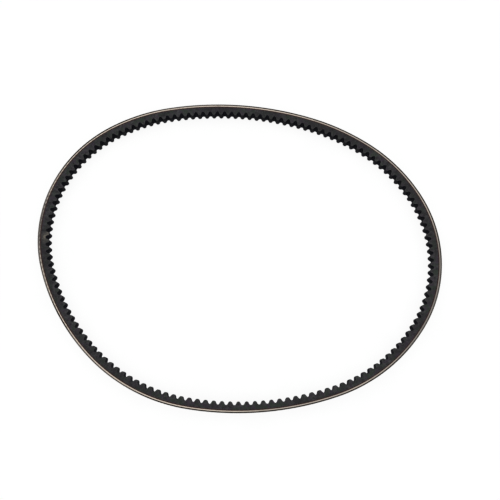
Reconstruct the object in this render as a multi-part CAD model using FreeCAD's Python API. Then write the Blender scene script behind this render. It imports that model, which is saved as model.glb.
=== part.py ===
import FreeCAD, Part
import math
import os

# Raw-edge V belt with moulded cogs, lying on its edge and bent into the loose oval that it takes
# when it is off its pulleys. Millimetres. +Z is across the belt's width, z = 0 is the surface that
# the lower edge of the back rests on, and the origin is under the middle of the loop.
# "Depth" is measured from the belt's back towards the inside of the loop.

# ---- Driving dimensions ----
TOP_WIDTH = 11.9            # width of the back, 15/32 in, as on an SAE 0.440 belt
BELT_HEIGHT = 8.2           # from the back to the tips of the cogs
FLANK_ANGLE = 19.0          # each flank leans this much, so the wedge is 38 degrees
CORD_LINE_LENGTH = 889.0    # all the way round along the middle of the cords, 35 in
COG_COUNT = 144
NOTCH_DEPTH = 2.6           # from the cog tips to the notch bottoms
NOTCH_RADIUS = 1.4          # at the notch bottoms
COG_WALL_ANGLE = 65.0       # slope of a cog's wall against the belt's length
FIRST_COG = 3.6             # from the outline's start to the first cog tip, on the cord line

PLY_THICKNESS = 0.35        # each of the two fabric plies on the back
CORD_DEPTH = 1.3            # from the back to the middle of the cords, the belt's neutral line
CORD_DIAMETER = 1.0
CORD_SPACING = 1.2          # between neighbouring turns
CORD_TURNS = 10
UNDERCORD_DEPTH = 2.3       # from the back to the bottom of the gum under the cords

# The back's outline seen from above, anticlockwise, as tangent arcs: (turn in degrees, radius).
# The two arcs with no radius are the ones that close the loop.
START_HEADING = 117.5
OUTLINE = [
    (27.0, 132.0),
    (17.0, 179.0),
    (28.0, None),
    (21.5, 144.0),
    (77.0, 106.0),
    (28.0, None),
    (35.0, 139.0),
    (27.0, 242.0),
    (38.0, 133.0),
    (61.5, 106.0),
]

# ---- Derived dimensions ----
MID_Z = TOP_WIDTH / 2
FLANK_SLOPE = math.tan(math.radians(FLANK_ANGLE))
COG_PITCH = CORD_LINE_LENGTH / COG_COUNT
UP = FreeCAD.Vector(0, 0, 1)


class Arc:
    """One arc of the back's outline: its centre, radius, heading at its start, and turn."""

    def __init__(self, centre, radius, heading, turn):
        self.centre = centre
        self.radius = radius
        self.heading = heading
        self.turn = turn
        self.cord_length = (radius - CORD_DEPTH) * turn

    def outward(self, turned):
        """Unit vector from the centre to the belt, after turning this far along the arc."""
        angle = self.heading + turned - math.pi / 2
        return FreeCAD.Vector(math.cos(angle), math.sin(angle), 0)

    def point(self, turned, depth):
        return self.centre + self.outward(turned) * (self.radius - depth)


def headings():
    """Start heading of each arc, in radians, and the end heading of the last one."""
    values = [math.radians(START_HEADING)]
    for turn, _ in OUTLINE:
        values.append(values[-1] + math.radians(turn))
    return values


def chord_per_radius(start, end):
    """Chord of a unit arc that turns left from one heading to another, as a complex number."""
    return complex(math.sin(end) - math.sin(start), math.cos(start) - math.cos(end))


def closed_radii(angles):
    """Radii of all arcs: the two open ones are solved so that the chords add up to nothing."""
    chords = [chord_per_radius(angles[i], angles[i + 1]) for i in range(len(OUTLINE))]
    known = sum(radius * chord for (_, radius), chord in zip(OUTLINE, chords) if radius)
    first, second = [i for i, (_, radius) in enumerate(OUTLINE) if radius is None]
    a, b = chords[first], chords[second]
    cross = (a.conjugate() * b).imag
    solved = {
        first: (b.conjugate() * known).imag / cross,
        second: -(a.conjugate() * known).imag / cross,
    }
    return [solved.get(i, radius) for i, (_, radius) in enumerate(OUTLINE)]


def outline_arcs():
    """The back's outline, scaled to the belt's length and centred on the origin."""
    angles = headings()
    radii = closed_radii(angles)
    turns = [angles[i + 1] - angles[i] for i in range(len(OUTLINE))]
    drawn_length = sum(radius * turn for radius, turn in zip(radii, turns))
    scale = (CORD_LINE_LENGTH + 2 * math.pi * CORD_DEPTH) / drawn_length

    arcs = []
    start = FreeCAD.Vector(0, 0, 0)
    for angle, turn, radius in zip(angles, turns, radii):
        inward = FreeCAD.Vector(-math.sin(angle), math.cos(angle), 0)
        arc = Arc(start + inward * (radius * scale), radius * scale, angle, turn)
        arcs.append(arc)
        start = arc.point(turn, 0)

    box = Part.Wire([back_edge(arc) for arc in arcs]).optimalBoundingBox()
    for arc in arcs:
        arc.centre = arc.centre - FreeCAD.Vector(box.Center.x, box.Center.y, 0)
    return arcs


def back_edge(arc):
    """The arc itself as an edge, on the belt's back at z = 0."""
    ends = [arc.point(arc.turn * part, 0) for part in (0, 0.5, 1)]
    return Part.Arc(*ends).toShape()


ARCS = outline_arcs()


# ---- Sections across the belt ----
def half_width(depth):
    """Half of the belt's width between its flanks at this depth."""
    return TOP_WIDTH / 2 - depth * FLANK_SLOPE


def band_section(arc, top, bottom):
    """Section between two depths, flank to flank, standing at the start of an arc."""
    corners = []
    for depth, side in ((top, -1), (top, 1), (bottom, 1), (bottom, -1)):
        corners.append(arc.point(0, depth) + UP * (MID_Z + side * half_width(depth)))
    return Part.Face(Part.makePolygon(corners + corners[:1]))


def cord_centre(arc, turn):
    """Middle of one cord turn at the start of an arc."""
    height = MID_Z + (turn - (CORD_TURNS - 1) / 2) * CORD_SPACING
    return arc.point(0, CORD_DEPTH) + UP * height


def cord_disc(arc, turn):
    """Whole round section of one cord turn, standing at the start of an arc."""
    along = UP.cross(arc.outward(0))
    return Part.Face(Part.Wire(Part.makeCircle(CORD_DIAMETER / 2, cord_centre(arc, turn), along)))


def cut_cord_disc(arc, turn):
    """Section of a cord turn that the flank nearest to it cuts open, standing at the start of an arc."""
    centre = cord_centre(arc, turn)
    lean = math.radians(FLANK_ANGLE)
    side = UP if centre.z > MID_Z else -UP
    flank_normal = side * math.cos(lean) - arc.outward(0) * math.sin(lean)
    down_flank = side * math.sin(lean) + arc.outward(0) * math.cos(lean)
    radius = CORD_DIAMETER / 2
    to_flank = (half_width(CORD_DEPTH) - abs(centre.z - MID_Z)) * math.cos(lean)
    half_cut = math.sqrt(radius ** 2 - to_flank ** 2)
    cut_middle = centre + flank_normal * to_flank
    ends = [cut_middle - down_flank * half_cut, cut_middle + down_flank * half_cut]
    root = centre - flank_normal * radius
    halves = []
    for end, side_way in ((ends[0], -1), (ends[1], 1)):
        middle = centre + (down_flank * side_way - flank_normal) * (radius / math.sqrt(2))
        halves.append(Part.Arc(end, middle, root).toShape())
    cut_side = Part.LineSegment(ends[1], ends[0]).toShape()
    return Part.Face(Part.Wire(Part.sortEdges(halves + [cut_side])[0]))


def ring(section):
    """Solid ring: the section of each arc turned about that arc's centre, all joined."""
    pieces = []
    for arc in ARCS:
        pieces.append(section(arc).revolve(arc.centre, UP, math.degrees(arc.turn)))
    return pieces[0].multiFuse(pieces[1:])


# ---- Sub-parts ----
def fabric_ply(number):
    """One of the two canvas plies on the back, counted from outside."""
    top = number * PLY_THICKNESS
    return ring(lambda arc: band_section(arc, top, top + PLY_THICKNESS))


def cord_turn(turn):
    """One turn of the tensile cord. The flanks cut the lowest and the highest turn open."""
    section = cut_cord_disc if turn in (0, CORD_TURNS - 1) else cord_disc
    return ring(lambda arc: section(arc, turn))


def gum_layer(top, bottom):
    """Adhesion rubber on one side of the cords, with a half-round groove for each turn."""
    def section(arc):
        discs = [cord_disc(arc, turn) for turn in range(CORD_TURNS)]
        return band_section(arc, top, bottom).cut(discs)
    return ring(section)


def on_cord_line(distance, depth):
    """Point at a distance along the cord line from the outline's start, at a depth."""
    distance = distance % CORD_LINE_LENGTH
    for arc in ARCS:
        if distance <= arc.cord_length:
            break
        distance -= arc.cord_length
    return arc.point(distance / (arc.radius - CORD_DEPTH), depth)


def cog_edges(tip):
    """Edges of one cog and the notch after it, from one cog wall's top to the next one's."""
    slope = math.radians(COG_WALL_ANGLE)
    radius_sum = (COG_PITCH / 2 - NOTCH_DEPTH / math.tan(slope)) / math.tan(slope / 2)
    crown_radius = radius_sum - NOTCH_RADIUS
    crown_half = crown_radius * math.sin(slope)
    notch_half = NOTCH_RADIUS * math.sin(slope)
    crown_depth = BELT_HEIGHT - crown_radius * (1 - math.cos(slope))
    notch_bottom = BELT_HEIGHT - NOTCH_DEPTH
    notch_depth = notch_bottom + NOTCH_RADIUS * (1 - math.cos(slope))
    notch = tip + COG_PITCH / 2

    crown_start = on_cord_line(tip - crown_half, crown_depth)
    crown_top = on_cord_line(tip, BELT_HEIGHT)
    crown_end = on_cord_line(tip + crown_half, crown_depth)
    notch_start = on_cord_line(notch - notch_half, notch_depth)
    notch_middle = on_cord_line(notch, notch_bottom)
    notch_end = on_cord_line(notch + notch_half, notch_depth)
    next_crown = on_cord_line(tip + COG_PITCH - crown_half, crown_depth)
    return [
        Part.Arc(crown_start, crown_top, crown_end).toShape(),
        Part.LineSegment(crown_end, notch_start).toShape(),
        Part.Arc(notch_start, notch_middle, notch_end).toShape(),
        Part.LineSegment(notch_end, next_crown).toShape(),
    ]


def compression_rubber():
    """Fibre-loaded rubber body under the cords, with the cogs moulded on its inner side."""
    edges = []
    for cog in range(COG_COUNT):
        edges += cog_edges(FIRST_COG + cog * COG_PITCH)
    inside = Part.Face(Part.Wire(edges)).extrude(UP * TOP_WIDTH)
    body = ring(lambda arc: band_section(arc, UNDERCORD_DEPTH, BELT_HEIGHT))
    return body.cut(inside)


def build():
    """All sub-parts by node name."""
    parts = {
        "outer_fabric_ply": fabric_ply(0),
        "inner_fabric_ply": fabric_ply(1),
        "overcord_gum": gum_layer(2 * PLY_THICKNESS, CORD_DEPTH),
        "undercord_gum": gum_layer(CORD_DEPTH, UNDERCORD_DEPTH),
        "compression_rubber": compression_rubber(),
    }
    for turn in range(CORD_TURNS):
        parts["cord_turn_%02d" % (turn + 1)] = cord_turn(turn)
    return parts


os.makedirs("parts", exist_ok=True)
for node, shape in build().items():
    shape.exportStep("parts/%s.step" % node)
    print("%-20s solids %d, valid %s, %.1f mm3" % (node, len(shape.Solids), shape.isValid(), shape.Volume))
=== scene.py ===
import math

import bpy
import numpy as np
from mathutils import Matrix, Vector


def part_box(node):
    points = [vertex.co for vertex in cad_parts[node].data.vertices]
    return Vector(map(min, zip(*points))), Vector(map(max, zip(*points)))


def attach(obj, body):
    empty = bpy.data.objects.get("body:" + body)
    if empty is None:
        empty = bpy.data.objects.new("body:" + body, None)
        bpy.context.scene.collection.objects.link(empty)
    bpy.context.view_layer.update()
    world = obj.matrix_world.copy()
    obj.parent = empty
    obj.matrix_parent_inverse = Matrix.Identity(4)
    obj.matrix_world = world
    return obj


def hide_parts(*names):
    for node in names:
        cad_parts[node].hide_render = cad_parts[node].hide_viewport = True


# A raw-edge V belt with moulded cogs, lying on its edge in a loose oval. Metres, +Z across the
# belt's width. "Depth" runs from the belt's back towards the inside of the loop, and "s" is the
# distance along the cord line, anticlockwise from the outline's start.

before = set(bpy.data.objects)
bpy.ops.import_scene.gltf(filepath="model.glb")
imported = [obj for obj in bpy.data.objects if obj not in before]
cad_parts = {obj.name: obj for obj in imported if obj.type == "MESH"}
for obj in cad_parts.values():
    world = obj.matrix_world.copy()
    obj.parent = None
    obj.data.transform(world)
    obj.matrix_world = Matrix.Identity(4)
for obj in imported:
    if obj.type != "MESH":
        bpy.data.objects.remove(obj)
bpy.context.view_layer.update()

MM = 0.001

# ---- The belt's driving sizes, as in its design ----
LENGTH = 889.0 * MM           # along the middle of the cords
COG_COUNT = 144
COG_PITCH = LENGTH / COG_COUNT
BELT_HEIGHT = 8.2 * MM
NOTCH_DEPTH = 2.6 * MM
NOTCH_RADIUS = 1.4 * MM
COG_WALL = math.radians(65.0)
FIRST_COG = 3.6 * MM
FLANK_LEAN = math.radians(19.0)
PLY = 0.35 * MM
CORD_DEPTH = 1.3 * MM
CORD_RADIUS = 0.5 * MM
CORD_SPACING = 1.2 * MM
CORD_TURNS = 10
UNDERCORD_DEPTH = 2.3 * MM
START_HEADING = math.radians(117.5)
OUTLINE = [
    (27.0, 132.0),
    (17.0, 179.0),
    (28.0, None),
    (21.5, 144.0),
    (77.0, 106.0),
    (28.0, None),
    (35.0, 139.0),
    (27.0, 242.0),
    (38.0, 133.0),
    (61.5, 106.0),
]

BACK_LOW, BACK_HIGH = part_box("outer_fabric_ply")
TOP_WIDTH = BACK_HIGH.z - BACK_LOW.z
MID_Z = (BACK_HIGH.z + BACK_LOW.z) / 2
CENTRING_STEPS = 7200         # points of the outline that its bounding box is measured on
RANDOM = np.random.default_rng(7)


class Loop:
    """The belt's path: tangent arcs whose two open radii close it, scaled to the cord's length."""

    def __init__(self):
        turns = np.radians([turn for turn, _ in OUTLINE])
        ends = START_HEADING + np.cumsum(turns)
        self.heading = ends - turns
        chords = -1j * (np.exp(1j * ends) - np.exp(1j * self.heading))
        radii = np.array([radius or 0.0 for _, radius in OUTLINE]) * MM
        known = (radii * chords).sum()
        first, second = [i for i, (_, radius) in enumerate(OUTLINE) if radius is None]
        a, b = chords[first], chords[second]
        cross = (a.conjugate() * b).imag
        radii[first] = (b.conjugate() * known).imag / cross
        radii[second] = -(a.conjugate() * known).imag / cross
        self.radius = radii * (LENGTH + 2 * math.pi * CORD_DEPTH) / (radii * turns).sum()

        starts = np.concatenate([[0], np.cumsum(self.radius * chords)[:-1]])
        self.centre = starts + 1j * self.radius * np.exp(1j * self.heading)
        self.start = np.concatenate([[0], np.cumsum((self.radius - CORD_DEPTH) * turns)[:-1]])
        outline = self.flat(np.linspace(0, LENGTH, CENTRING_STEPS, endpoint=False), 0.0)
        low = complex(outline.real.min(), outline.imag.min())
        high = complex(outline.real.max(), outline.imag.max())
        middle = complex(BACK_LOW.x + BACK_HIGH.x, BACK_LOW.y + BACK_HIGH.y) / 2
        self.centre += middle - (low + high) / 2

    def flat(self, s, depth):
        """Points in the plan as complex numbers, for arrays of s and depth."""
        s = s % LENGTH
        k = np.searchsorted(self.start, s, side="right") - 1
        angle = self.heading[k] + (s - self.start[k]) / (self.radius[k] - CORD_DEPTH) - math.pi / 2
        return self.centre[k] + (self.radius[k] - depth) * np.exp(1j * angle)


LOOP = Loop()


def half_width(depth):
    """Half of the belt's width between its flanks at this depth."""
    return TOP_WIDTH / 2 - depth * math.tan(FLANK_LEAN)


# ---- Meshes ----
def ring_mesh(name, s, depth, height, materials, slot_of_column, sharp_angle):
    """Closed tube around the loop. depth and height hold one row per s and one column per point of
    the section, and slot_of_column gives the material of the strip after each column. Edges that
    bend by more than sharp_angle, in degrees, stay sharp."""
    rows, columns = depth.shape
    plan = LOOP.flat(np.repeat(s[:, None], columns, 1), depth)
    corners = np.stack([plan.real, plan.imag, height], -1).reshape(-1, 3)
    row = np.arange(rows)[:, None]
    column = np.arange(columns)[None, :]
    next_row = (row + 1) % rows
    next_column = (column + 1) % columns
    quads = np.stack([
        row * columns + column,
        row * columns + next_column,
        next_row * columns + next_column,
        next_row * columns + column,
    ], -1).reshape(-1, 4)

    mesh = bpy.data.meshes.new(name)
    mesh.vertices.add(len(corners))
    mesh.vertices.foreach_set("co", corners.ravel())
    mesh.loops.add(quads.size)
    mesh.loops.foreach_set("vertex_index", quads.ravel())
    mesh.polygons.add(len(quads))
    mesh.polygons.foreach_set("loop_start", np.arange(len(quads)) * 4)
    mesh.polygons.foreach_set("loop_total", np.full(len(quads), 4))
    mesh.update(calc_edges=True)
    mesh.polygons.foreach_set("use_smooth", np.ones(len(quads), bool))
    slots = np.tile(np.asarray(slot_of_column), rows)
    mesh.polygons.foreach_set("material_index", slots)
    for material in materials:
        mesh.materials.append(material)

    # belt: distance along the belt, and across it round the section
    depth_steps = np.diff(depth, axis=1, append=depth[:, :1])
    height_steps = np.diff(height, axis=1, append=height[:, :1])
    across = np.concatenate([[0], np.cumsum(np.hypot(depth_steps, height_steps).mean(0))])
    along = np.append(s, s[0] + LENGTH)
    u = np.stack([along[:-1], along[:-1], along[1:], along[1:]], -1)[:, None].repeat(columns, 1)
    v = np.stack([across[:-1], across[1:], across[1:], across[:-1]], -1)[None].repeat(rows, 0)
    layer = mesh.uv_layers.new(name="belt")
    layer.data.foreach_set("uv", np.stack([u, v], -1).ravel())

    # round: the same point with the belt bent into a true circle, so that patterns have no seam
    circle = LENGTH / (2 * math.pi)
    turned = np.exp(1j * s[:, None] / circle) * (circle - depth)
    round_place = np.stack([turned.real, turned.imag, height], -1)
    attribute = mesh.attributes.new("round", "FLOAT_VECTOR", "POINT")
    attribute.data.foreach_set("vector", round_place.ravel())
    mesh.set_sharp_from_angle(angle=math.radians(sharp_angle))
    piece = bpy.data.objects.new(name, mesh)
    bpy.context.scene.collection.objects.link(piece)
    return piece


def float_attribute(piece, name, values):
    attribute = piece.data.attributes.new(name, "FLOAT", "POINT")
    attribute.data.foreach_set("value", np.asarray(values, np.float32).ravel())


def smooth_noise(rows, columns, coarse):
    """Seamless along the belt: random values every few rows, smoothly joined, about -1 to 1."""
    count = rows // coarse
    knots = RANDOM.uniform(-1, 1, (count, columns))
    place = np.arange(rows) * count / rows
    low = np.floor(place).astype(int)
    part = place - low
    part = (part * part * (3 - 2 * part))[:, None]
    return knots[low % count] * (1 - part) + knots[(low + 1) % count] * part


def spot(off):
    """1 within half of a spot's reach, fading to 0 at one and a half, for off in reaches."""
    return np.clip(1.5 - off, 0, 1)


# ---- Node helpers ----
class Nodes:
    """A small builder for one procedural material around one Principled shader."""

    def __init__(self, name, **constants):
        self.material = bpy.data.materials.new(name)
        self.material.use_nodes = True
        self.tree = self.material.node_tree
        self.shader = self.tree.nodes["Principled BSDF"]
        for socket, value in constants.items():
            self.shader.inputs[socket.replace("_", " ")].default_value = value

    def new(self, kind, inputs=None, **settings):
        node = self.tree.nodes.new(kind)
        for key, value in settings.items():
            setattr(node, key, value)
        for socket, value in (inputs or {}).items():
            if isinstance(value, bpy.types.NodeSocket):
                self.tree.links.new(value, node.inputs[socket])
            else:
                node.inputs[socket].default_value = value
        return node

    def attribute(self, name, output):
        return self.new("ShaderNodeAttribute", attribute_name=name).outputs[output]

    def stretched(self, vector, scale):
        return self.new("ShaderNodeMapping", {"Vector": vector, "Scale": scale}).outputs[0]

    def noise(self, vector, scale, detail=3.0, roughness=0.6):
        inputs = {"Vector": vector, "Scale": scale, "Detail": detail, "Roughness": roughness}
        return self.new("ShaderNodeTexNoise", inputs).outputs["Fac"]

    def fade(self, value, low, high, to_low=0.0, to_high=1.0):
        """to_low up to the value low, to_high from the value high on, and smooth in between."""
        inputs = {"Value": value, "From Min": low, "From Max": high}
        inputs.update({"To Min": to_low, "To Max": to_high})
        return self.new("ShaderNodeMapRange", inputs, interpolation_type="SMOOTHSTEP").outputs[0]

    def math(self, operation, a, b=0.0):
        return self.new("ShaderNodeMath", {0: a, 1: b}, operation=operation).outputs[0]

    def mix(self, factor, a, b):
        node = self.new("ShaderNodeMix", data_type="RGBA")
        for socket, value in zip((node.inputs[0], node.inputs[6], node.inputs[7]), (factor, a, b)):
            if isinstance(value, bpy.types.NodeSocket):
                self.tree.links.new(value, socket)
            else:
                socket.default_value = value
        return node.outputs[2]

    def bump(self, height, distance, strength=1.0, under=None):
        inputs = {"Height": height, "Distance": distance, "Strength": strength}
        if under is not None:
            inputs["Normal"] = under
        return self.new("ShaderNodeBump", inputs).outputs[0]

    def finish(self, colour, roughness, normal):
        self.tree.links.new(colour, self.shader.inputs["Base Color"])
        self.tree.links.new(roughness, self.shader.inputs["Roughness"])
        self.tree.links.new(normal, self.shader.inputs["Normal"])
        return self.material


def rgb(red, green, blue):
    return (red, green, blue, 1.0)


# ---- Colours, linear red, green and blue ----
WHITE = rgb(1, 1, 1)
FLANK_DARK = rgb(0.0235, 0.0230, 0.0255)
FLANK_LIGHT = rgb(0.0815, 0.0805, 0.0850)
FLANK_GREEN = rgb(0.042, 0.058, 0.044)
FLANK_RED = rgb(0.060, 0.044, 0.067)
FLANK_DULL = rgb(0.026, 0.024, 0.028)
FLANK_RUBBED = rgb(0.088, 0.088, 0.085)
FIBRE_ENDS = rgb(0.150, 0.144, 0.136)
GRINDING_LINES = rgb(0.108, 0.108, 0.110)
SCUFF_COLOUR = rgb(0.190, 0.175, 0.150)
# Moulded rubber: its own darker tone, darkened further as painted shade of the cog walls and notches
MOULDED_DARK_AND_SHADE = rgb(0.0080, 0.0082, 0.0125)
MOULDED_LIGHT_AND_SHADE = rgb(0.0185, 0.0189, 0.0270)
MOULD_LINES = rgb(0.0270, 0.0275, 0.0360)
CROWN_WORN = rgb(0.0440, 0.0430, 0.0440)
CROWN_SPECKS = rgb(0.0600, 0.0580, 0.0560)
CANVAS_RUBBER = rgb(0.0110, 0.0110, 0.0115)
CANVAS_WORN = rgb(0.110, 0.109, 0.109)
CANVAS_THREAD = rgb(0.190, 0.187, 0.182)
CANVAS_FIBRE = rgb(0.150, 0.147, 0.142)
EDGE_THREAD = rgb(0.190, 0.170, 0.147)
EDGE_RUBBER = rgb(0.038, 0.029, 0.023)
INNER_RUBBER = rgb(0.013, 0.012, 0.011)
INNER_THREAD = rgb(0.044, 0.039, 0.033)
DUST_COLOUR = rgb(0.25, 0.228, 0.21)
CORD_GROOVE = rgb(0.41, 0.357, 0.300)
CORD_CREST = rgb(0.63, 0.567, 0.500)
CORD_DIRT = rgb(0.24, 0.21, 0.18)
CORD_GRIME = rgb(0.22, 0.21, 0.20)
CORD_FILAMENT = rgb(0.74, 0.68, 0.60)
DIP_DARK = rgb(0.20, 0.12, 0.08)
DIP_LIGHT = rgb(0.42, 0.30, 0.20)
FILM_DARK = rgb(0.010, 0.010, 0.010)
FILM_LIGHT = rgb(0.022, 0.020, 0.019)
RED_GUM_DARK = rgb(0.042, 0.015, 0.013)
RED_GUM_LIGHT = rgb(0.070, 0.030, 0.026)
PAPER_DARK = rgb(0.08, 0.08, 0.08)
PAPER_LIGHT = rgb(0.10, 0.10, 0.10)


# ---- Materials ----
THREADS_ROUND = 600           # bias threads met in one trip round the belt, an even number
THREADS_ACROSS = 7.9          # and in one trip across its back
THREAD_ROUNDNESS = 0.6        # power that rounds a thread's section
THREAD_ARCH = 0.45            # share of its height that a thread drops from its crest to its ends
WEAVE_RELIEF = 0.07 * MM
BACK_CORNER = 0.10 * MM       # rounding of the outer ply's edges
# Dusty stretches of the belt's edge: middle as a share of the length, reach, amount
DUST = [
    (0.44, 75.0 * MM, 0.75),
    (0.90, 50.0 * MM, 0.40),
    (0.575, 45.0 * MM, 0.60),
    (0.24, 45.0 * MM, 0.35),
]


def dusted(n, base):
    """Base colour with pale dust rubbed into it on a few stretches of the belt's edge."""
    place = n.new("ShaderNodeTexCoord").outputs["Object"]
    patches = n.noise(place, scale=420.0, detail=3.0, roughness=0.6)
    for middle, reach, amount in DUST:
        on_back = LOOP.flat(np.array([middle * LENGTH]), 0.0)[0]
        inputs = {0: place, 1: (on_back.real, on_back.imag, TOP_WIDTH)}
        away = n.new("ShaderNodeVectorMath", inputs, operation="DISTANCE").outputs["Value"]
        near = n.fade(away, 0.5 * reach, reach, amount, 0.0)
        share = n.math("MULTIPLY", near, n.fade(patches, 0.25, 0.6, 0.5, 1.0))
        base = n.mix(share, base, DUST_COLOUR)
    return base


def ground_rubber():
    """Flank of the compression rubber: ground flat, speckled with cut fibre ends."""
    n = Nodes("ground_rubber", Specular_IOR_Level=0.45)
    place = n.attribute("round", "Vector")
    belt = n.new("ShaderNodeUVMap", uv_map="belt").outputs[0]
    grain = n.noise(place, scale=2600.0, detail=2.0, roughness=0.7)
    hatch = n.noise(n.stretched(belt, (2400.0, 260.0, 1.0)), scale=1.0, detail=2.0, roughness=0.6)
    clouds = n.noise(place, scale=430.0, detail=3.0, roughness=0.7)
    drift = n.noise(place, scale=45.0, detail=2.0, roughness=0.5)
    green_tint = n.noise(place, scale=230.0, detail=2.0, roughness=0.5)
    red_tint = n.noise(n.stretched(place, (1.3, 1.3, 0.8)), scale=250.0, detail=2.0, roughness=0.5)
    base = n.mix(n.fade(clouds, 0.34, 0.66), FLANK_DARK, FLANK_LIGHT)
    base = n.mix(n.fade(green_tint, 0.48, 0.62, 0.0, 0.85), base, FLANK_GREEN)
    base = n.mix(n.fade(red_tint, 0.50, 0.64, 0.0, 0.75), base, FLANK_RED)
    base = n.mix(n.fade(drift, 0.35, 0.65, 0.6, 0.0), base, FLANK_DULL)
    base = n.mix(n.fade(n.attribute("rub", "Fac"), 0.0, 1.0, 0.0, 0.4), base, FLANK_RUBBED)
    base = n.mix(n.math("MULTIPLY", n.fade(grain, 0.55, 0.72), 0.5), base, FIBRE_ENDS)
    base = n.mix(n.math("MULTIPLY", n.fade(hatch, 0.5, 0.72), 0.5), base, GRINDING_LINES)
    scraped = n.noise(n.stretched(belt, (1100.0, 500.0, 1.0)), scale=1.0, detail=4.0, roughness=0.65)
    scuffed = n.fade(n.math("ADD", n.attribute("scuff", "Fac"), scraped), 0.65, 1.35, 0.0, 0.90)
    base = n.mix(scuffed, base, SCUFF_COLOUR)
    roughness = n.fade(grain, 0.3, 0.7, 0.62, 0.82)
    normal = n.bump(grain, distance=0.05 * MM, strength=0.6)
    normal = n.bump(hatch, distance=0.06 * MM, strength=0.5, under=normal)
    return n.finish(base, roughness, normal)


def moulded_rubber_and_painted_shade():
    """Cog walls, crowns and notches: smooth from the mould, darker than the ground flank, partly in
    the rubber's own tone and partly as painted shade.
    """
    n = Nodes("moulded_rubber_and_painted_shade", Specular_IOR_Level=0.05)
    place = n.attribute("round", "Vector")
    crown = n.attribute("crown", "Fac")
    grain = n.noise(place, scale=1500.0, detail=3.0, roughness=0.6)
    clouds = n.noise(place, scale=160.0, detail=3.0, roughness=0.55)
    belt = n.new("ShaderNodeUVMap", uv_map="belt").outputs[0]
    lines = n.noise(n.stretched(belt, (3200.0, 110.0, 1.0)), scale=1.0, detail=2.0, roughness=0.5)
    # Painted shade: these colours are darker than the moulded rubber alone, for the dim walls and
    # notches
    base = n.mix(n.fade(clouds, 0.35, 0.7), MOULDED_DARK_AND_SHADE, MOULDED_LIGHT_AND_SHADE)
    base = n.mix(n.fade(lines, 0.48, 0.68, 0.0, 0.7), base, MOULD_LINES)
    worn = n.math("MULTIPLY", n.fade(crown, 0.70, 1.0), n.fade(grain, 0.35, 0.65, 0.2, 0.7))
    base = n.mix(worn, base, CROWN_WORN)
    base = n.mix(n.fade(grain, 0.62, 0.8), base, CROWN_SPECKS)
    roughness = n.fade(clouds, 0.3, 0.7, 0.50, 0.70)
    normal = n.bump(grain, distance=0.03 * MM, strength=0.6)
    normal = n.bump(lines, distance=0.06 * MM, strength=0.6, under=normal)
    return n.finish(base, roughness, normal)


def woven(n):
    """Height and fibre streaks, each from 0 to 1, of the back's weave, laid out as in weave()."""
    belt = n.new("ShaderNodeUVMap", uv_map="belt").outputs[0]
    along = n.new("ShaderNodeSeparateXYZ", {"Vector": belt}).outputs["X"]
    place = n.new("ShaderNodeTexCoord").outputs["Object"]
    level = n.new("ShaderNodeSeparateXYZ", {"Vector": place}).outputs["Z"]
    above = n.math("SUBTRACT", level, BACK_LOW.z + BACK_CORNER)
    along_phase = n.math("MULTIPLY", along, math.pi * THREADS_ROUND / LENGTH)
    across_phase = n.math("MULTIPLY", above, math.pi * THREADS_ACROSS / (TOP_WIDTH - 2 * BACK_CORNER))
    warp_phase = n.math("ADD", along_phase, across_phase)
    weft_phase = n.math("SUBTRACT", along_phase, across_phase)
    warp = n.math("COSINE", warp_phase)
    weft = n.math("COSINE", weft_phase)
    over = n.math("GREATER_THAN", n.math("MULTIPLY", warp, weft))
    high_warp = n.math("ABSOLUTE", warp)
    high_weft = n.math("ABSOLUTE", weft)
    gain = n.math("MULTIPLY", over, n.math("SUBTRACT", high_warp, high_weft))
    top = n.math("POWER", n.math("ADD", high_weft, gain), THREAD_ROUNDNESS)
    side = n.math("SUBTRACT", high_warp, gain)
    arch = n.math("ADD", n.math("MULTIPLY", side, THREAD_ARCH), 1 - THREAD_ARCH)
    height = n.math("MULTIPLY", top, arch)

    phases = n.new("ShaderNodeCombineXYZ", {"X": warp_phase, "Y": weft_phase}).outputs[0]
    warp_fibres = n.noise(n.stretched(phases, (2.4, 0.35, 1.0)), scale=1.0, detail=2.0, roughness=0.5)
    weft_fibres = n.noise(n.stretched(phases, (0.35, 2.4, 1.0)), scale=1.0, detail=2.0, roughness=0.5)
    more = n.math("MULTIPLY", over, n.math("SUBTRACT", warp_fibres, weft_fibres))
    return height, n.math("ADD", weft_fibres, more)


def canvas_back():
    """Rubberised canvas: dark rubber between the threads, worn grey on their crests."""
    n = Nodes("canvas_back", Specular_IOR_Level=0.25, Sheen_Weight=0.08, Sheen_Roughness=0.6)
    place = n.attribute("round", "Vector")
    height, streaks = woven(n)
    crest = n.math("MULTIPLY", height, n.math("SUBTRACT", 1.0, n.attribute("pressed", "Fac")))
    fibres = n.noise(place, scale=3800.0, detail=2.0, roughness=0.6)
    wear = n.noise(place, scale=90.0, detail=4.0, roughness=0.6)
    worn = n.math("MULTIPLY", n.fade(crest, 0.20, 1.0), n.fade(wear, 0.35, 0.65, 0.40, 1.0))
    base = n.mix(worn, CANVAS_RUBBER, CANVAS_WORN)
    base = n.mix(n.math("MULTIPLY", n.fade(streaks, 0.45, 0.70), worn), base, CANVAS_THREAD)
    base = n.mix(n.math("MULTIPLY", n.fade(fibres, 0.5, 0.8), 0.3), base, CANVAS_FIBRE)
    roughness = n.fade(crest, 0.0, 1.0, 0.58, 0.85)
    normal = n.bump(crest, distance=0.03 * MM, strength=0.5)
    normal = n.bump(streaks, distance=0.03 * MM, strength=0.5, under=normal)
    normal = n.bump(fibres, distance=0.02 * MM, strength=0.5, under=normal)
    return n.finish(base, roughness, normal)


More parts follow.
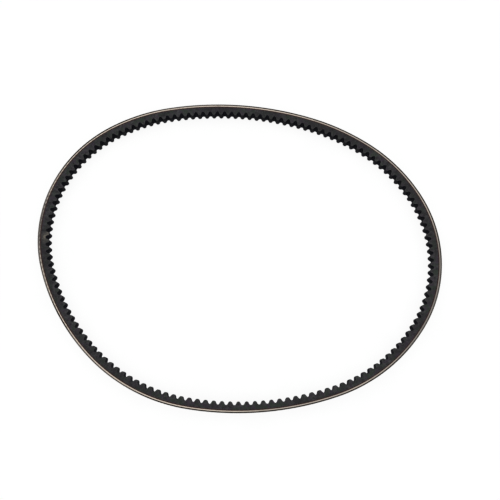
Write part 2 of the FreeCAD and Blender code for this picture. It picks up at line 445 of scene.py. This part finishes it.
def canvas_edge(name, thread, gap):
    """Cut edge of a canvas ply: pale thread ends with dark rubber between them."""
    n = Nodes(name, Specular_IOR_Level=0.2)
    place = n.attribute("round", "Vector")
    ends = n.noise(place, scale=1700.0, detail=2.0, roughness=0.6)
    fade = n.noise(place, scale=60.0, detail=3.0, roughness=0.6)
    shown = n.math("MULTIPLY", n.fade(ends, 0.38, 0.6), n.fade(fade, 0.3, 0.65, 0.55, 1.0))
    base = dusted(n, n.mix(shown, gap, thread))
    roughness = n.fade(ends, 0.3, 0.7, 0.7, 0.9)
    normal = n.bump(ends, distance=0.08 * MM, strength=0.7)
    return n.finish(base, roughness, normal)


def canvas_node():
    """Inner canvas ply, which shows only as a dark grey line along each flank."""
    n = Nodes("inner_canvas", Specular_IOR_Level=0.2)
    place = n.new("ShaderNodeTexCoord").outputs["Object"]
    ends = n.noise(place, scale=1500.0, detail=2.0, roughness=0.6)
    base = dusted(n, n.mix(n.fade(ends, 0.4, 0.65), INNER_RUBBER, INNER_THREAD))
    roughness = n.fade(ends, 0.3, 0.7, 0.7, 0.9)
    normal = n.bump(ends, distance=0.08 * MM, strength=0.7)
    return n.finish(base, roughness, normal)


def gum(name, dark, light, dusty=False):
    """Adhesion rubber where the flank cuts it: soft, slightly smeared along the belt."""
    n = Nodes(name, Specular_IOR_Level=0.3)
    place = n.new("ShaderNodeTexCoord").outputs["Object"]
    smear = n.noise(place, scale=900.0, detail=3.0, roughness=0.6)
    base = n.mix(n.fade(smear, 0.35, 0.7), dark, light)
    if dusty:
        base = dusted(n, base)
    roughness = n.fade(smear, 0.3, 0.7, 0.5, 0.7)
    normal = n.bump(smear, distance=0.03 * MM, strength=0.5)
    return n.finish(base, roughness, normal)


def cord_fibre():
    """Polyester cord cut open: pale tan filaments, darker dip in the grooves between its plies."""
    n = Nodes("cord_fibre", Specular_IOR_Level=0.2, Sheen_Weight=0.1, Sheen_Roughness=0.5)
    strand = n.attribute("strand", "Fac")
    place = n.attribute("round", "Vector")
    dirt = n.noise(place, scale=140.0, detail=4.0, roughness=0.65)
    fibres = n.noise(place, scale=4200.0, detail=2.0, roughness=0.6)
    base = n.mix(n.fade(strand, 0.1, 0.8), CORD_GROOVE, CORD_CREST)
    base = n.mix(n.fade(dirt, 0.5, 0.75, 0.0, 0.35), base, CORD_DIRT)
    base = n.mix(n.attribute("grime", "Fac"), base, CORD_GRIME)
    base = n.mix(n.math("MULTIPLY", n.fade(fibres, 0.5, 0.75), 0.4), base, CORD_FILAMENT)
    roughness = n.fade(fibres, 0.3, 0.7, 0.7, 0.9)
    normal = n.bump(fibres, distance=0.04 * MM, strength=0.6)
    return n.finish(base, roughness, normal)


def hidden_cord():
    """A whole turn of dipped cord inside the belt."""
    n = Nodes("dipped_cord", Specular_IOR_Level=0.3)
    place = n.new("ShaderNodeTexCoord").outputs["Object"]
    twist = n.noise(place, scale=1400.0, detail=2.0, roughness=0.6)
    base = n.mix(n.fade(twist, 0.35, 0.65), DIP_DARK, DIP_LIGHT)
    roughness = n.fade(twist, 0.3, 0.7, 0.5, 0.75)
    normal = n.bump(twist, distance=0.08 * MM, strength=0.7)
    return n.finish(base, roughness, normal)


# ---- Pieces ----
SOFT_EDGES = 60.0             # degrees, from which an edge of canvas or cord stays sharp
COG_EDGES = 40.0              # and one of the compression rubber
SPLICE_S = 0.30 * LENGTH      # where the outer ply's ends overlap
SPLICE_LAP = 9.0 * MM
SPLICE_STEP = 0.03 * MM
SPLICE_GROOVE = 0.35 * MM     # half width of the pressed line along each end of the lap
BACK_STEPS = 4 * THREADS_ROUND    # mesh steps round the belt
BACK_COLUMNS = 32             # and across its back
SHOULDER_DEPTH = 0.24 * MM    # where the ply's cut edge starts to draw in
EDGE_INSET = 0.01 * MM        # of the ply's cut edge from the flank
ROOT_INSET = 0.02 * MM        # the same at the ply's inner side
FINE_FRAY = 0.05 * MM         # roughness of the cut edge within one thread
BROAD_FRAY = 0.03 * MM        # and over six threads
CORNER_BOW = 0.4              # share of the corner's rounding at which its one point stands
GROOVE_PRESS = 0.8            # share of the weave's relief that the pressed line flattens


def weave(s, across):
    """Height from 0 to 1 of a plain weave laid on the bias, at s and at a share of the width."""
    along_phase = math.pi * THREADS_ROUND * s / LENGTH
    across_phase = math.pi * THREADS_ACROSS * across
    warp = np.cos(along_phase + across_phase)
    weft = np.cos(along_phase - across_phase)
    over = warp * weft > 0
    top = np.where(over, np.abs(warp), np.abs(weft))
    side = np.where(over, np.abs(weft), np.abs(warp))
    return top ** THREAD_ROUNDNESS * (1 - THREAD_ARCH + THREAD_ARCH * side)


def back_ply():
    """Outer canvas ply: woven back with its lapped splice, rounded corners and rough cut edges."""
    s = np.arange(BACK_STEPS) * LENGTH / BACK_STEPS
    share = np.linspace(0, 1, BACK_COLUMNS + 1)
    s_grid = s[:, None]
    crest = weave(s_grid, share[None])
    slant = s_grid - SPLICE_S - (share[None] - 0.5) * TOP_WIDTH
    lapped = np.abs(slant) < SPLICE_LAP / 2
    from_end = np.abs(np.abs(slant) - SPLICE_LAP / 2)
    groove = np.exp(-(from_end / SPLICE_GROOVE) ** 2)
    relief = 1 - crest * (1 - GROOVE_PRESS * groove)
    crest_depth = np.where(lapped, 0.0, SPLICE_STEP) + relief * WEAVE_RELIEF
    back_height = BACK_LOW.z + BACK_CORNER + share * (TOP_WIDTH - 2 * BACK_CORNER)

    fray = FINE_FRAY * smooth_noise(BACK_STEPS, 4, 2) + BROAD_FRAY * smooth_noise(BACK_STEPS, 4, 24)
    rough = EDGE_INSET + np.abs(fray)
    shoulder = np.full(BACK_STEPS, SHOULDER_DEPTH)
    root = np.full(BACK_STEPS, PLY)
    depth, height = [], []

    def point(point_depth, side, inset):
        depth.append(point_depth)
        height.append(MID_Z + side * (half_width(point_depth) - inset))

    for column in range(BACK_COLUMNS + 1):
        depth.append(crest_depth[:, column])
        height.append(np.full(BACK_STEPS, back_height[column]))
    point(crest_depth[:, -1] + BACK_CORNER * CORNER_BOW, 1, rough[:, 0])
    point(shoulder, 1, rough[:, 1])
    point(root, 1, ROOT_INSET)
    point(root, 0, 0)
    point(root, -1, ROOT_INSET)
    point(shoulder, -1, rough[:, 2])
    point(crest_depth[:, 0] + BACK_CORNER * CORNER_BOW, -1, rough[:, 3])
    depth = np.stack(depth, 1)
    height = np.stack(height, 1)
    slots = [0] * BACK_COLUMNS + [1] * (depth.shape[1] - BACK_COLUMNS)
    edge = canvas_edge("canvas_edge", EDGE_THREAD, EDGE_RUBBER)
    piece = ring_mesh("canvas_back_ply", s, depth, height, [canvas_back(), edge], slots, SOFT_EDGES)
    pressed = np.zeros_like(depth)
    pressed[:, :BACK_COLUMNS + 1] = groove
    float_attribute(piece, "pressed", pressed)
    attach(piece, "root")
    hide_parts("outer_fabric_ply")


FLANK_STEPS = 8               # points down each flank
COG_STEPS = 9                 # points across the cogs' inner side
BEND_POINTS = 8               # points round each crown and each notch
MOULD_EDGE = 0.12 * MM        # rounding of the cogs' edges
# The one point on that rounding
EASED_DEPTH = 0.3 * MOULD_EDGE    # its distance from the cog's inner side
EASED_INSET = 0.25 * MOULD_EDGE   # and from the flank
RUB_REACH = 2.0 * MM          # flank rubbed paler this near to the cogs' edges
SCUFF_S = 0.4445 * LENGTH     # middle of one scuffed place on the upper flank
# The spots that make it up: offset along the belt, depth, reach along, reach across, amount
SCUFFS = [
    (0.0, 4.8 * MM, 2.0 * MM, 1.3 * MM, 0.80),
    (-2.6 * MM, 6.6 * MM, 1.7 * MM, 1.5 * MM, 0.62),
    (0.8 * MM, 4.9 * MM, 5.5 * MM, 3.0 * MM, 0.44),
]


def cog_profile():
    """s and depth of the inner side all round: crown, wall, notch and wall of every cog."""
    radius_sum = (COG_PITCH / 2 - NOTCH_DEPTH / math.tan(COG_WALL)) / math.tan(COG_WALL / 2)
    crown_radius = radius_sum - NOTCH_RADIUS
    bend = np.linspace(-COG_WALL, COG_WALL, BEND_POINTS)
    crown_s = crown_radius * np.sin(bend)
    crown_depth = BELT_HEIGHT - crown_radius * (1 - np.cos(bend))
    notch_s = COG_PITCH / 2 + NOTCH_RADIUS * np.sin(bend)
    notch_depth = BELT_HEIGHT - NOTCH_DEPTH + NOTCH_RADIUS * (1 - np.cos(bend))
    part = np.array([1 / 3, 2 / 3])
    down_s = crown_s[-1] + part * (notch_s[0] - crown_s[-1])
    down_depth = crown_depth[-1] + part * (notch_depth[0] - crown_depth[-1])
    cog_s = np.concatenate([crown_s, down_s, notch_s, COG_PITCH - down_s[::-1]])
    cog_depth = np.concatenate([crown_depth, down_depth, notch_depth, down_depth[::-1]])
    cogs = np.arange(COG_COUNT)[:, None] * COG_PITCH
    return (FIRST_COG + cogs + cog_s).ravel(), np.tile(cog_depth, COG_COUNT)


def cogged_body():
    """Compression rubber: ground flanks, and cogs with slightly eased edges from the mould."""
    s, inner = cog_profile()
    flank = np.linspace(0, 1, FLANK_STEPS)
    edge_depth = inner - EASED_DEPTH
    edge_reach = half_width(edge_depth) - EASED_INSET
    depth, height = [], []

    def point(point_depth, reach):
        depth.append(point_depth)
        height.append(MID_Z + reach)

    for part in flank:
        d = UNDERCORD_DEPTH + part * (inner - MOULD_EDGE - UNDERCORD_DEPTH)
        point(d, half_width(d))
    point(edge_depth, edge_reach)
    for part in np.linspace(1, -1, COG_STEPS):
        point(inner, part * (half_width(inner) - MOULD_EDGE))
    point(edge_depth, -edge_reach)
    for part in flank[::-1]:
        d = UNDERCORD_DEPTH + part * (inner - MOULD_EDGE - UNDERCORD_DEPTH)
        point(d, -half_width(d))
    depth = np.stack(depth, 1)[:, ::-1]
    height = np.stack(height, 1)[:, ::-1]
    cog_slots = depth.shape[1] - 2 * FLANK_STEPS + 1
    slots = [0] * (FLANK_STEPS - 1) + [1] * cog_slots + [0] * FLANK_STEPS
    rubbers = [ground_rubber(), moulded_rubber_and_painted_shade()]
    piece = ring_mesh("cogged_body", s, depth, height, rubbers, slots, COG_EDGES)
    to_edge = (inner[:, None] - depth) / RUB_REACH
    on_cog = depth > BELT_HEIGHT - NOTCH_DEPTH
    float_attribute(piece, "rub", np.clip(1 - to_edge, 0, 1) * on_cog)
    crown = (inner - inner.min()) / (inner.max() - inner.min())
    float_attribute(piece, "crown", np.repeat(crown[:, None], depth.shape[1], 1))
    scuff = np.zeros_like(depth)
    for offset, middle, along, across, amount in SCUFFS:
        off = np.hypot((s[:, None] - SCUFF_S - offset) / along, (depth - middle) / across)
        scuff = np.maximum(scuff, amount * spot(off))
    float_attribute(piece, "scuff", scuff * (height > MID_Z))
    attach(piece, "root")
    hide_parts("compression_rubber")


STRANDS_ROUND = 240           # plies of the cord met in one trip round the belt
STRAND_STEP = LENGTH / STRANDS_ROUND
STRAND_SLANT = 0.22           # how far a ply slants across the cut, in strand steps to each side
STRAND_RELIEF = 0.035 * MM
CORD_STEPS = 3600             # mesh steps round the belt
SHOWN_STEPS = 8               # across the cut cord
BURIED_STEPS = 8              # and round the rest of it
CORD_EXIT = 0.4345 * LENGTH   # where the winding leaves the upper flank
CORD_RIPPLE = 0.04            # share of its radius that the cord swells by at each ply
CORD_CLIMB = 1.02             # how far the cut moves over the cord in one turn, in cord diameters
CUT_FULLNESS = 0.3            # power that keeps the cut nearly full until close to the exit
LEAST_SHOWN = 0.0001          # share of the cord's section that shows at the exit
PLIED_BELOW = 0.78            # half width of the cut, in cord radii, at which its plies show apart
PLIED_GAIN = 2.2              # how fast they come to show as it narrows
PLIED_LEAST = 0.05            # and how much they show in the widest cut
FILM_WIDTH = 0.01 * MM        # least width of the gum film beside the cut
# Strand value of the cut, which is low in the grooves between its plies and high on their crests
STRAND_LEVEL = 0.7            # where the plies don't show apart
STRAND_SWING = 0.6            # up and down from ply to ply where they do
STRAND_DROP = 0.2             # how much lower it lies there
STRAND_FUZZ = 0.15            # spread from loose filaments
# Dirty stretches of the cut cord: middle and reach as shares of the length, amount
GRIME = [
    (0.435, 0.022, 0.85),
    (0.90, 0.08, 0.80),
    (0.04, 0.09, 0.40),
    (0.76, 0.06, 0.35),
]


def cord_grime(s):
    """How dirty the cut cord is at s, from 0 to 1."""
    grime = np.zeros_like(s)
    for middle, reach, amount in GRIME:
        off = np.abs((s / LENGTH - middle + 0.5) % 1.0 - 0.5) / reach
        grime = np.maximum(grime, amount * spot(off))
    return grime


def cord_shown(s, exit_s):
    """Half width of the cut cord that the flank shows. The winding climbs as it goes round, so the
    cut runs through the cord and leaves it at exit_s, where only its plies' crests still show."""
    climb = ((s - exit_s) / LENGTH) % 1.0
    off_centre = (climb * 2 - 1) * CORD_RADIUS * CORD_CLIMB
    radius = CORD_RADIUS * (1 + CORD_RIPPLE * np.cos(2 * math.pi * s / STRAND_STEP))
    share = np.maximum(1 - (off_centre / radius) ** 2, LEAST_SHOWN)
    return radius * share ** CUT_FULLNESS


def cut_cord(name, side, node, exit_s, fibre, film):
    """The turn of cord that one flank cuts open, with gum smeared over what the cut doesn't reach."""
    s = np.arange(CORD_STEPS) * LENGTH / CORD_STEPS
    reach = (CORD_TURNS - 1) / 2 * CORD_SPACING
    to_flank = (half_width(CORD_DEPTH) - reach) * math.cos(FLANK_LEAN)
    half_cut = math.sqrt(CORD_RADIUS ** 2 - to_flank ** 2)
    shown = np.minimum(cord_shown(s, exit_s), half_cut - FILM_WIDTH)
    plied = np.clip(PLIED_GAIN * (PLIED_BELOW - shown / CORD_RADIUS), PLIED_LEAST, 1)
    fuzz = smooth_noise(CORD_STEPS, SHOWN_STEPS + 1, 2)
    depth, height, strand = [], [], []

    def point(down, out, crest=0.0):
        """A point by its distance down the flank and out of it, from the cord's middle."""
        down = down + np.zeros(CORD_STEPS)
        across = reach - down * math.sin(FLANK_LEAN) + out * math.cos(FLANK_LEAN)
        depth.append(CORD_DEPTH + down * math.cos(FLANK_LEAN) - out * math.sin(FLANK_LEAN))
        height.append(MID_Z + side * across)
        strand.append(crest + np.zeros(CORD_STEPS))

    point(-half_cut, to_flank)
    for column, part in enumerate(np.linspace(-1, 1, SHOWN_STEPS + 1)):
        lay = 2 * math.pi * (s / STRAND_STEP + part * STRAND_SLANT)
        crest = STRAND_LEVEL + plied * (STRAND_SWING * np.cos(lay) - STRAND_DROP)
        crest = crest + STRAND_FUZZ * fuzz[:, column]
        rise = 0.0 if column in (0, SHOWN_STEPS) else STRAND_RELIEF * crest * shown / CORD_RADIUS
        point(part * shown, to_flank + rise, crest)
    point(half_cut, to_flank)
    around = math.asin(half_cut / CORD_RADIUS)
    for angle in np.linspace(around, 2 * math.pi - around, BURIED_STEPS + 1)[1:-1]:
        point(CORD_RADIUS * math.sin(angle), CORD_RADIUS * math.cos(angle))
    depth = np.stack(depth, 1)
    height = np.stack(height, 1)
    strand = np.stack(strand, 1)
    slots = [1] + [0] * SHOWN_STEPS + [1] + [0] * BURIED_STEPS
    if side > 0:
        depth, height, strand = depth[:, ::-1], height[:, ::-1], strand[:, ::-1]
        slots = slots[-2::-1] + slots[-1:]
    piece = ring_mesh(name, s, depth, height, [fibre, film], slots, SOFT_EDGES)
    float_attribute(piece, "strand", strand)
    float_attribute(piece, "grime", np.repeat(cord_grime(s)[:, None], depth.shape[1], 1))
    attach(piece, "root")
    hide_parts(node)


def dress_cad_nodes(dipped_cord, film, red_gum):
    """Materials of the CAD nodes that stay: inner ply, both gums and the turns inside the belt."""
    finishes = {
        "inner_fabric_ply": canvas_node(),
        "overcord_gum": film,
        "undercord_gum": red_gum,
    }
    for turn in range(2, CORD_TURNS):
        finishes["cord_turn_%02d" % turn] = dipped_cord
    for node, material in finishes.items():
        node_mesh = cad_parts[node].data
        node_mesh.materials.clear()
        node_mesh.materials.append(material)


# ---- Stage ----
CAMERA_PLACE = (0.00685, -0.12190, 0.42750)
CAMERA_BACK = (-0.0042, -0.2756, 0.9613)    # from the view's middle towards the camera
CAMERA_LENS = 39.96           # mm, on a sensor 36 mm wide
FLOOR_SIZE = 8.0
FLOOR_GLOW = 0.91
DISPLAY_GAMMA = 0.7


def make_camera():
    """Above the near side of the loop, tilted 16 degrees from straight down."""
    back = Vector(CAMERA_BACK).normalized()
    data = bpy.data.cameras.new("camera")
    data.sensor_width = 36.0
    data.lens = CAMERA_LENS
    data.clip_start = 0.01
    camera = bpy.data.objects.new("camera", data)
    bpy.context.scene.collection.objects.link(camera)
    turn = Vector((0, 0, 1)).rotation_difference(back).to_matrix().to_4x4()
    camera.matrix_world = Matrix.Translation(CAMERA_PLACE) @ turn
    bpy.context.scene.camera = camera


def make_floor():
    """White paper that glows a little, so that it stays white in the belt's faint shadow."""
    mesh = bpy.data.meshes.new("floor")
    half = FLOOR_SIZE / 2
    corners = [(-half, -half, 0), (half, -half, 0), (half, half, 0), (-half, half, 0)]
    mesh.from_pydata(corners, [], [(0, 1, 2, 3)])
    glow = {"Emission_Color": WHITE, "Emission_Strength": FLOOR_GLOW}
    n = Nodes("floor_paper", Specular_IOR_Level=0.0, **glow)
    place = n.new("ShaderNodeTexCoord").outputs["Object"]
    paper = n.noise(place, scale=40.0, detail=3.0, roughness=0.5)
    base = n.mix(paper, PAPER_DARK, PAPER_LIGHT)
    mesh.materials.append(n.finish(base, n.fade(paper, 0.0, 1.0, 0.8, 0.9), n.bump(paper, 0.01 * MM)))
    floor = bpy.data.objects.new("floor", mesh)
    bpy.context.scene.collection.objects.link(floor)


def area_light(name, place, size, watts):
    """Square soft light, aimed at the frame's origin."""
    data = bpy.data.lights.new(name, "AREA")
    data.shape = "SQUARE"
    data.size = size
    data.energy = watts
    light = bpy.data.objects.new(name, data)
    light.location = place
    light.rotation_euler = (-Vector(place)).to_track_quat("-Z", "Y").to_euler()
    bpy.context.scene.collection.objects.link(light)


def make_light():
    """White surroundings, a broad light above and a weak one in front, on the right."""
    world = bpy.data.worlds.new("studio")
    world.use_nodes = True
    background = world.node_tree.nodes["Background"]
    background.inputs["Color"].default_value = WHITE
    background.inputs["Strength"].default_value = 1.0
    bpy.context.scene.world = world
    area_light("top_softbox", place=(-0.25, 0.1, 1.4), size=1.6, watts=3.0)
    area_light("front_softbox", place=(0.5, -0.9, 0.9), size=0.9, watts=1.0)
    bpy.context.scene.view_settings.view_transform = "Standard"
    bpy.context.scene.view_settings.gamma = DISPLAY_GAMMA


make_camera()
make_light()
make_floor()
cord_material = cord_fibre()
gum_film = gum("gum_film", FILM_DARK, FILM_LIGHT, dusty=True)
gum_red = gum("gum_red", RED_GUM_DARK, RED_GUM_LIGHT)
back_ply()
cogged_body()
cut_cord("cut_cord_upper", 1, "cord_turn_10", CORD_EXIT, cord_material, gum_film)
cut_cord("cut_cord_lower", -1, "cord_turn_01", CORD_EXIT + LENGTH / 2, cord_material, gum_film)
dress_cad_nodes(hidden_cord(), gum_film, gum_red)
